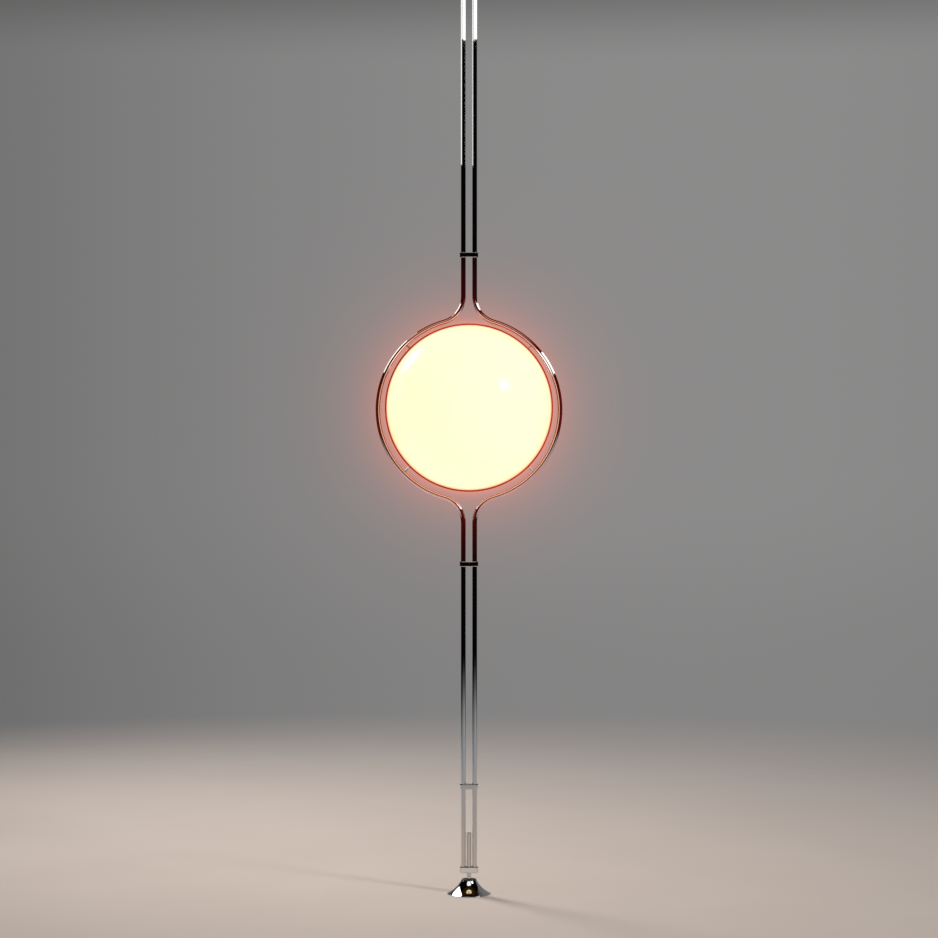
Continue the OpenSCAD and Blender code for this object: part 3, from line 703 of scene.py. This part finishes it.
HOLDER_R = out_to("lampholder_body")
HOLDER_LOW, HOLDER_TOP = heights("lampholder_body")
HOLDER_FOOT_R = 18.2
HOLDER_STEP = HOLDER_LOW + 8.3
HOLDER_HOLE_R = 3.0
HOLDER_BORE_R = 14.45
HOLDER_FLOOR = HOLDER_LOW + 14.0
HOLDER_GROOVE_LOW = HOLDER_TOP - 8.0
HOLDER_GROOVE_HIGH = HOLDER_TOP - 5.6
HOLDER_GROOVE_IN = 0.6
SOCKET_R = out_to("lampholder_screw_shell")
SOCKET_LOW, SOCKET_TOP = heights("lampholder_screw_shell")
SOCKET_WALL = 0.7
CAP_R = out_to("bulb_screw_cap")
CAP_LOW, CAP_TOP = heights("bulb_screw_cap")
CAP_CENTRE_R = 0.01
THREAD_PITCH = 3.6
HOUSING_R = out_to("bulb_housing")
DOME_LOW, DOME_R = heights("bulb_dome")
DOME_INNER_R = DOME_R - 1.2


def holder_outline():
    """Body with a narrower foot, a groove below its mouth and a well for the bulb's cap."""
    groove_r = HOLDER_R - HOLDER_GROOVE_IN
    return fillet([
        (HOLDER_HOLE_R, HOLDER_LOW, 0.3), (HOLDER_FOOT_R, HOLDER_LOW, 2.5),
        (HOLDER_FOOT_R, HOLDER_STEP, 0.6),
        (HOLDER_R, HOLDER_STEP + 1.0, 0.6), (HOLDER_R, HOLDER_GROOVE_LOW, 0.5),
        (groove_r, HOLDER_GROOVE_LOW + HOLDER_GROOVE_IN, 0.3),
        (groove_r, HOLDER_GROOVE_HIGH - HOLDER_GROOVE_IN, 0.3),
        (HOLDER_R, HOLDER_GROOVE_HIGH, 0.5), (HOLDER_R, HOLDER_TOP, 1.8), (HOLDER_BORE_R, HOLDER_TOP, 0.6),
        (HOLDER_BORE_R, HOLDER_FLOOR, 0.3), (HOLDER_HOLE_R, HOLDER_FLOOR, 0.0)])


def screw_shell():
    wall_r = SOCKET_R - SOCKET_WALL
    ends = ([(SOCKET_R, SOCKET_TOP), (SOCKET_R, SOCKET_LOW), (wall_r, SOCKET_LOW)], [(wall_r, SOCKET_TOP)])
    return screwed("lampholder_screw_shell_fine", SOCKET_R - 0.35, SOCKET_R - 0.8, THREAD_PITCH,
                   SOCKET_LOW + 0.2, SOCKET_TOP - 0.2, ends, at_globe())


def screw_cap():
    """Cap with its contact below the thread and a collar above it."""
    contact = [(radius, CAP_LOW + rise) for radius, rise in (
        (CAP_CENTRE_R, 0.0), (4.2, 0.0), (5.0, 0.7), (5.0, 2.8), (6.2, 4.0), (11.6, 5.0))]
    collar = [(radius, CAP_TOP - drop) for radius, drop in (
        (12.6, 1.6), (13.0, 1.0), (13.0, 0.0), (CAP_CENTRE_R, 0.0))]
    return screwed("bulb_screw_cap_fine", CAP_R, CAP_R - 0.7, THREAD_PITCH,
                   CAP_LOW + 6.5, CAP_TOP - 2.5, (contact, collar), at_globe())


def housing_outline():
    """Plain cone from the cap up to the dome, with a step under the dome."""
    return fillet([
        (0.0, CAP_TOP, 0.0), (12.5, CAP_TOP, 0.4), (12.5, CAP_TOP + 1.4, 0.0), (13.03, CAP_TOP + 1.4, 0.3),
        (27.2, DOME_LOW - 2.34, 0.4), (27.2, DOME_LOW - 1.64, 0.2), (28.0, DOME_LOW - 1.04, 0.3),
        (HOUSING_R, DOME_LOW, 0.3), (0.0, DOME_LOW, 0.0)])


def dome_outline():
    top = math.pi / 2
    outside = arc((0.0, 0.0), DOME_R, math.asin(DOME_LOW / DOME_R), top, 40)
    inside = arc((0.0, 0.0), DOME_INNER_R, top, math.asin(DOME_LOW / DOME_INNER_R), 40)
    return outside[:-1] + [(0.0, DOME_R), (0.0, DOME_INNER_R)] + inside[1:]


stand_for(lathe("lampholder_body_fine", holder_outline(), at_globe(), 96), "lampholder_body")
stand_for(screw_shell(), "lampholder_screw_shell")
stand_for(screw_cap(), "bulb_screw_cap")
stand_for(lathe("bulb_housing_fine", housing_outline(), at_globe(), 96), "bulb_housing")
stand_for(lathe("bulb_dome_fine", dome_outline(), at_globe(), 96), "bulb_dome", bulb_glow)

GROMMET_NECK_R = 3.0
GROMMET_FLANGE_Y = 5.05
inlet = Matrix.Translation((TUBE_X, 0.0, INLET_Z)) @ Matrix.Rotation(-math.pi / 2, 4, "X")
stand_for(lathe("inlet_grommet_fine", fillet([
    (INLET_R, INLET_IN_Y, 0.2), (GROMMET_NECK_R, INLET_IN_Y, 0.2), (GROMMET_NECK_R, GROMMET_FLANGE_Y, 0.0),
    (INLET_FLANGE_R, GROMMET_FLANGE_Y, 0.2), (INLET_FLANGE_R, INLET_OUT_Y, 0.6),
    (INLET_R, INLET_OUT_Y, 0.5)]), inlet, 64), "inlet_grommet")


# Stage, in metres

FLOOR_R = 9.0
FLOOR_STEPS = 96
WALL_R = 3.0
VEIL_R = 1.0
SHINE_R = 0.183
GLOW_HALF = 1.5
WHITE = (1.0, 0.99, 0.97)
OVAL = 2.0
SQUARE = 6.0
FLOOR_WARM = ((0.3, (0.615, 0.533, 0.483)), (0.7, (0.635, 0.553, 0.503)))
FLOOR_COOL = (0.51, 0.53, 0.56, 1.0)
FLOOR_COOL_FADE = (0.8, 2.2)
# Where the floor fades out, as seen and as mirrored: middle, and the distances where it starts and ends
SEEN_MIDDLE = (-0.15, 0.05, 0.0)
SEEN_FADE = (0.2, 3.45)
MIRRORED_MIDDLE = (0.4, -0.92, 0.0)
MIRRORED_FADE = (1.5, 5.3)
# Levels of the wall, painting a pool of light on it a little to the right and shade towards the ceiling; its
# edges are (from, to, level from, level to) along an axis of the direction looked in
WALL_LIGHT = 0.262
WALL_LIGHT_X = 0.10
WALL_FALL = 0.9
WALL_DARK = 0.175
WALL_COLOUR = (1.0, 0.985, 0.98, 1.0)
CEILING_EDGE = (0.178, 0.225, 1.0, 0.5)
FLOOR_EDGE = (-0.10, 0.0, 0.9, 1.0)
MIRRORED_EDGE = (0.90, 1.0, 0.0, 1.0)
MIRRORED_DARK = 0.0015
ROOM_LIGHT = 0.36
# How much of the globe's shine the ring shows on its inner side: share of the height, level
SHINE = ((0.15, 1.0), (0.5, 0.1), (0.85, 0.6))
SHINE_LEVEL = 0.42
SHINE_FRONT = (-0.12, -0.03, 1.0, 0.0)
# Level of the red veil over the height in it, from -1 to 1
VEIL = ((-0.55, 0.36), (-0.40, 0.004), (-0.30, 0.04), (-0.20, 0.13),
        (0.20, 0.13), (0.30, 0.05), (0.42, 0.004), (0.55, 0.15))
# Red glow round the globe as rings of (radius, fall-off, level)
GLOW = ((0.208, 0.059, 0.17), (0.1845, 0.008, 0.10))
RIGHT_FRONT = (3.1, -2.2, 3.1)
LEFT_BACK = (-1.73, 2.0, 2.44)
FRONT_TOP = (0.0, -2.0, 2.75)
foot_middle = Vector((0.0, 0.0, 0.0))
globe_centre = Vector((0.0, 0.0, GLOBE_Z * MM))


def make_floor():
    """Round floor that fades into the wall; its mirror image turns to a cool grey away from the lamp."""
    mesh = bpy.data.meshes.new("floor")
    ring = [(FLOOR_R * math.cos(a), FLOOR_R * math.sin(a), 0.0)
            for a in (2 * math.pi * k / FLOOR_STEPS for k in range(FLOOR_STEPS))]
    mesh.from_pydata(ring, [], [list(range(FLOOR_STEPS))])
    floor = put_object("floor", mesh)
    g = Graph("floor")
    g.put(Roughness=0.9, Specular_IOR_Level=0.0)
    mirrored = g.add("LightPath").outputs["Is Glossy Ray"]
    cool = g.add("Mix", data_type="RGBA")
    g.join(g.math("MULTIPLY", mirrored, g.span(g.length(g.place()), *FLOOR_COOL_FADE)), cool.inputs[0])
    g.join(g.ramp(g.noise(3.0, 3.0), FLOOR_WARM), cool.inputs[6])
    cool.inputs[7].default_value = FLOOR_COOL
    g.colour(cool.outputs[2])
    seen_edge = g.span(g.length(g.shift(SEEN_MIDDLE)), *SEEN_FADE)
    mirrored_edge = g.span(g.length(g.shift(MIRRORED_MIDDLE)), *MIRRORED_FADE, smooth=True)
    fade = g.add("MixShader")
    g.join(g.choose(mirrored, seen_edge, mirrored_edge), fade.inputs[0])
    g.join(g.shader.outputs[0], fade.inputs[1])
    g.join(g.add("BsdfTransparent").outputs[0], fade.inputs[2])
    g.join(fade.outputs[0], g.output.inputs["Surface"])
    floor.data.materials.append(g.material)


def make_world():
    """Grey wall with a painted pool of light a little to the right and painted shade near the ceiling;
    mirrors see only its middle.
    """
    world = bpy.data.worlds.new("studio")
    bpy.context.scene.world = world
    world.use_nodes = True
    world.node_tree.nodes.clear()
    g = Tree(world.node_tree)
    x, y, z = g.parts(g.add("TexCoord").outputs["Generated"])
    # Painted light: the wall is brightest at WALL_LIGHT_X and falls off to each side; CEILING_EDGE paints
    # shade at its top, FLOOR_EDGE makes it a little darker below the horizon
    aside = g.math("SUBTRACT", x, WALL_LIGHT_X)
    bright = g.math("MULTIPLY_ADD", g.math("MULTIPLY", aside, aside), -WALL_FALL, WALL_LIGHT)
    wall = g.math("MAXIMUM", bright, WALL_DARK)
    wall = g.math("MULTIPLY", wall, g.span(z, *CEILING_EDGE, smooth=True))
    wall = g.math("MULTIPLY", wall, g.span(z, *FLOOR_EDGE, smooth=True))
    path = g.add("LightPath")
    behind = g.math("MULTIPLY", wall, g.span(y, *MIRRORED_EDGE, smooth=True))
    level = g.choose(path.outputs["Is Glossy Ray"], ROOM_LIGHT, g.math("ADD", behind, MIRRORED_DARK))
    room = g.add("Background", Color=WALL_COLOUR)
    g.join(g.choose(path.outputs["Is Camera Ray"], level, wall), room.inputs["Strength"])
    g.join(room.outputs[0], g.add("OutputWorld").inputs["Surface"])


def aimed(place, aim):
    return (Vector(aim) - Vector(place)).to_track_quat("-Z", "Y")


def make_light(name, place, aim, size, power, colour):
    """Soft lamp that lights the scene but isn't mirrored; the panels below are."""
    data = bpy.data.lights.new(name, "AREA")
    data.shape = "DISK"
    data.size = size
    data.energy = power
    data.color = colour
    lamp = put_object(name, data)
    lamp.location = place
    lamp.rotation_mode = "QUATERNION"
    lamp.rotation_quaternion = aimed(place, aim)
    lamp.visible_camera = False
    lamp.visible_glossy = False


def shine_on(lamp, receivers):
    """Keeps a lamp's shine to the given objects."""
    group = bpy.data.collections.new(lamp.name + "_receivers")
    for obj in receivers:
        group.objects.link(obj)
    lamp.light_linking.receiver_collection = group


def make_screen(name, mesh, receivers, colour, strength):
    """Bright screen that only shows in the given shiny objects and hides nothing behind it."""
    screen = put_object(name, mesh)
    g = Graph(name)
    g.tree.nodes.remove(g.shader)
    shine = g.add("Emission", Color=(*colour, 1.0))
    g.join(strength(g), shine.inputs["Strength"])
    both = g.add("AddShader")
    g.join(shine.outputs[0], both.inputs[0])
    g.join(g.add("BsdfTransparent").outputs[0], both.inputs[1])
    g.join(both.outputs[0], g.output.inputs["Surface"])
    screen.data.materials.append(g.material)
    for kind in ("camera", "diffuse", "transmission", "volume_scatter", "shadow"):
        setattr(screen, "visible_" + kind, False)
    shine_on(screen, receivers)
    return screen


def make_glow():
    """Red glow round the globe, on a clear screen in its middle plane that only the camera sees."""
    corners = [(sx * GLOW_HALF, 0.0, sz * GLOW_HALF) for sx, sz in ((-1, -1), (1, -1), (1, 1), (-1, 1))]
    mesh = bpy.data.meshes.new("glow")
    mesh.from_pydata(corners, [], [(0, 1, 2, 3)])

    def strength(g):
        away = g.length(g.place())
        total = 0.0
        for radius, fall, level in GLOW:
            ring = g.math("EXPONENT", g.math("MULTIPLY", g.math("SUBTRACT", away, radius), -1.0 / fall))
            total = g.math("MULTIPLY_ADD", ring, level, total)
        return g.math("MULTIPLY", total, g.math("GREATER_THAN", away, BAND_R * MM))

    screen = make_screen("glow", mesh, [], (1.0, 0.12, 0.02), strength)
    screen.visible_camera = True
    screen.visible_glossy = False
    screen.location = globe_centre


def make_panel(name, place, aim, size, level, receivers, soft, colour=WHITE, corner=OVAL):
    """Flat soft box, oval or nearly square; soft is the share of it that fades towards its edge."""
    width, height = size
    corners = [(sx * width / 2, sy * height / 2, 0.0) for sx, sy in ((-1, -1), (1, -1), (1, 1), (-1, 1))]
    mesh = bpy.data.meshes.new(name)
    mesh.from_pydata(corners, [], [(0, 1, 2, 3)])

    def strength(g):
        x, y, _ = g.parts()
        across = g.math("POWER", g.math("MULTIPLY", g.math("ABSOLUTE", x), 2 / width), corner)
        up = g.math("POWER", g.math("MULTIPLY", g.math("ABSOLUTE", y), 2 / height), corner)
        return g.span(g.math("ADD", across, up), 1.0 - soft, 1.0, level, 0.0, smooth=True)

    panel = make_screen(name, mesh, receivers, colour, strength)
    panel.location = place
    panel.rotation_mode = "QUATERNION"
    panel.rotation_quaternion = aimed(place, aim)


def make_curved(name, point, first, last, level, receivers, fade=None):
    """Curved soft box between two corners of a surface point(u, v); fade scales its level along an axis."""
    steps = 40
    points = [point(first[0] + (last[0] - first[0]) * k / steps, v) for k in range(steps + 1)
              for v in (first[1], last[1])]
    faces = [(2 * k, 2 * k + 1, 2 * k + 3, 2 * k + 2) for k in range(steps)]
    mesh = bpy.data.meshes.new(name)
    mesh.from_pydata(points, [], faces)

    def strength(g):
        if fade is None:
            return level
        axis, *limits = fade
        return g.math("MULTIPLY", g.span(g.parts()[axis], *limits), level)

    make_screen(name, mesh, receivers, WHITE, strength)


def on_wall(azimuth, height):
    """Point of a round wall; azimuth in degrees from the camera's side, to the right."""
    a = math.radians(azimuth)
    return (WALL_R * math.sin(a), -WALL_R * math.cos(a), height)


def in_ring_plane(angle, far):
    """Point at the given angle and distance from the ring's middle."""
    a = math.radians(angle)
    return (far * math.cos(a), 0.0, RING_Z * MM + far * math.sin(a))


def round_ring(turn, angle):
    """Point far out that a ring tube mirrors at the given ring angle; turn is from the camera's side."""
    t = math.radians(turn)
    x, _, z = in_ring_plane(angle, WALL_R * math.sin(t))
    return (x, -WALL_R * math.cos(t), z)


def ball(name, radius):
    work = bmesh.new()
    bmesh.ops.create_uvsphere(work, u_segments=64, v_segments=32, radius=radius)
    mesh = bpy.data.meshes.new(name)
    work.to_mesh(mesh)
    work.free()
    return mesh


def make_shine(receivers):
    """Warm shine of the globe, mirrored by the inner side of the ring."""

    def strength(g):
        rise = g.span(g.parts()["Z"], -SHINE_R, SHINE_R)
        side = g.ramp(rise, [(at, (level,) * 3) for at, level in SHINE])
        front = g.span(g.parts()["Y"], *SHINE_FRONT)
        kept = g.math("MULTIPLY_ADD", g.math("SUBTRACT", 1.0, side), front, side)
        return g.math("MULTIPLY", kept, SHINE_LEVEL)

    screen = make_screen("shine", ball("shine", SHINE_R), receivers, (1.0, 0.26, 0.15), strength)
    screen.location = globe_centre


def make_veil(receivers):
    """Red shine of the air round the globe, mirrored by the ring and its pins only."""

    def strength(g):
        rise = g.span(g.parts()["Z"], -VEIL_R, VEIL_R)
        return g.ramp(rise, [((1.0 + at) / 2, (level,) * 3) for at, level in VEIL])

    screen = make_screen("veil", ball("veil", VEIL_R), receivers, (1.0, 0.05, 0.04), strength)
    screen.location = globe_centre


make_floor()
make_world()
make_glow()
make_light("right_front", RIGHT_FRONT, (0, 0, 0.6), size=0.7, power=70, colour=(1.0, 0.97, 0.94))
make_light("left_back", LEFT_BACK, (0, 0, 0.3), size=0.9, power=72, colour=(1.0, 0.96, 0.92))
ring = ring_tubes + pins
apart = ring + straight_tubes + shells
others = [obj for obj in bpy.context.scene.objects if obj.type == "MESH" and obj not in apart]
smooth = [obj for obj in others if obj not in bars]
foot = [obj for obj in smooth if obj.name.startswith("floor_")]
cones = [obj for obj in others if "cone" in obj.name]
couplings = [obj for obj in bars if "coupling" in obj.name]
blocks = [obj for obj in bars if "block" in obj.name]

# Soft boxes for the globe
make_panel("globe_right_box", (3.04, -2.29, 2.98), globe_centre, size=(1.1, 1.1),
           level=18.0, receivers=shells, soft=0.9)
make_panel("globe_left_box", (-1.93, 1.84, 2.70), globe_centre, size=(1.3, 1.3),
           level=5.0, receivers=shells, soft=0.7)

# Soft boxes for the foot, the cup and the other plain pieces
make_panel("foot_right_box", RIGHT_FRONT, foot_middle, size=(1.9, 1.9), level=12.0, receivers=foot, soft=0.2)
make_panel("foot_left_box", (-1.58, 1.88, 2.5), foot_middle, size=(1.93, 2.35),
           level=8.0, receivers=foot, soft=0.4)
make_panel("front_top_box", FRONT_TOP, foot_middle, size=(2.5, 1.4),
           level=1.2, receivers=smooth, soft=0.2, corner=SQUARE)
make_panel("foot_top_box", (0.0, -2.05, 2.82), foot_middle, size=(2.5, 1.4),
           level=0.6, receivers=cones, soft=0.2, corner=SQUARE)
make_panel("foot_glow", globe_centre, foot_middle, size=(1.2, 1.2),
           level=0.04, receivers=cones, soft=1.0, colour=(1.0, 0.35, 0.04))
make_curved("foot_back_wall", on_wall, (120.0, 0.0), (180.0, 5.2),
            level=0.21, receivers=cones, fade=("Z", 2.4, 5.2, 1.0, 0.0))
make_curved("foot_left_wall", on_wall, (-180.0, 0.0), (-140.0, 1.8),
            level=0.13, receivers=cones, fade=("Z", 1.0, 1.8, 1.0, 0.0))

# Soft boxes for the bars and blocks
make_panel("bar_top_box", (0.0, 0.0, 3.3), foot_middle, size=(5.0, 5.0),
           level=0.5, receivers=couplings, soft=0.5)
make_panel("block_floor_box", (0.0, -0.4, 0.004), (0.0, -0.4, 1.0), size=(1.2, 0.8),
           level=0.17, receivers=blocks, soft=0.3, corner=SQUARE)

# Soft boxes for the straight tubes
make_curved("tube_left_wall", on_wall, (-178.0, 1.955), (-76.0, 3.3), level=1.5, receivers=straight_tubes)
make_curved("tube_front_wall", on_wall, (-76.0, 2.39), (-30.0, 3.3), level=0.95, receivers=straight_tubes)
make_curved("tube_right_wall", on_wall, (-30.0, 2.39), (150.0, 3.3), level=2.2, receivers=straight_tubes)

# Soft boxes and shine for the ring and its pins
make_panel("ring_top_box", FRONT_TOP, foot_middle, size=(3.4, 2.0),
           level=1.0, receivers=ring, soft=0.5, colour=(1.0, 0.45, 0.33))
make_curved("ring_right_wall", round_ring, (30.0, 24.5), (150.0, 39.5),
            level=2.4, receivers=ring, fade=("Y", -2.6, -1.5, 0.5, 1.0))
make_curved("ring_left_wall", round_ring, (70.0, 155.0), (140.0, 131.0), level=2.0, receivers=ring)
make_curved("ring_left_end", round_ring, (75.0, 131.0), (140.0, 123.0), level=0.7, receivers=ring)
make_panel("ring_right_glow", in_ring_plane(32.5, 0.177), in_ring_plane(32.5, 0.5), size=(0.2, 0.07),
           level=1.6, receivers=ring, soft=0.8)
make_panel("ring_left_glow", in_ring_plane(141.0, 0.177), in_ring_plane(141.0, 0.5), size=(0.2, 0.09),
           level=0.9, receivers=ring, soft=0.8, colour=(1.0, 0.8, 0.62))
make_veil(ring)
make_shine(ring)

# Camera

CAMERA_PLACE = (0.0, -4.695, 0.9)
LENS = 85.0
SENSOR = 36.0
camera = put_object("camera", bpy.data.cameras.new("camera"))
camera.data.lens = LENS
camera.data.sensor_width = SENSOR
camera.location = CAMERA_PLACE
camera.rotation_euler = (math.pi / 2, 0.0, 0.0)
bpy.context.scene.camera = camera
bpy.context.scene.view_settings.view_transform = "Standard"
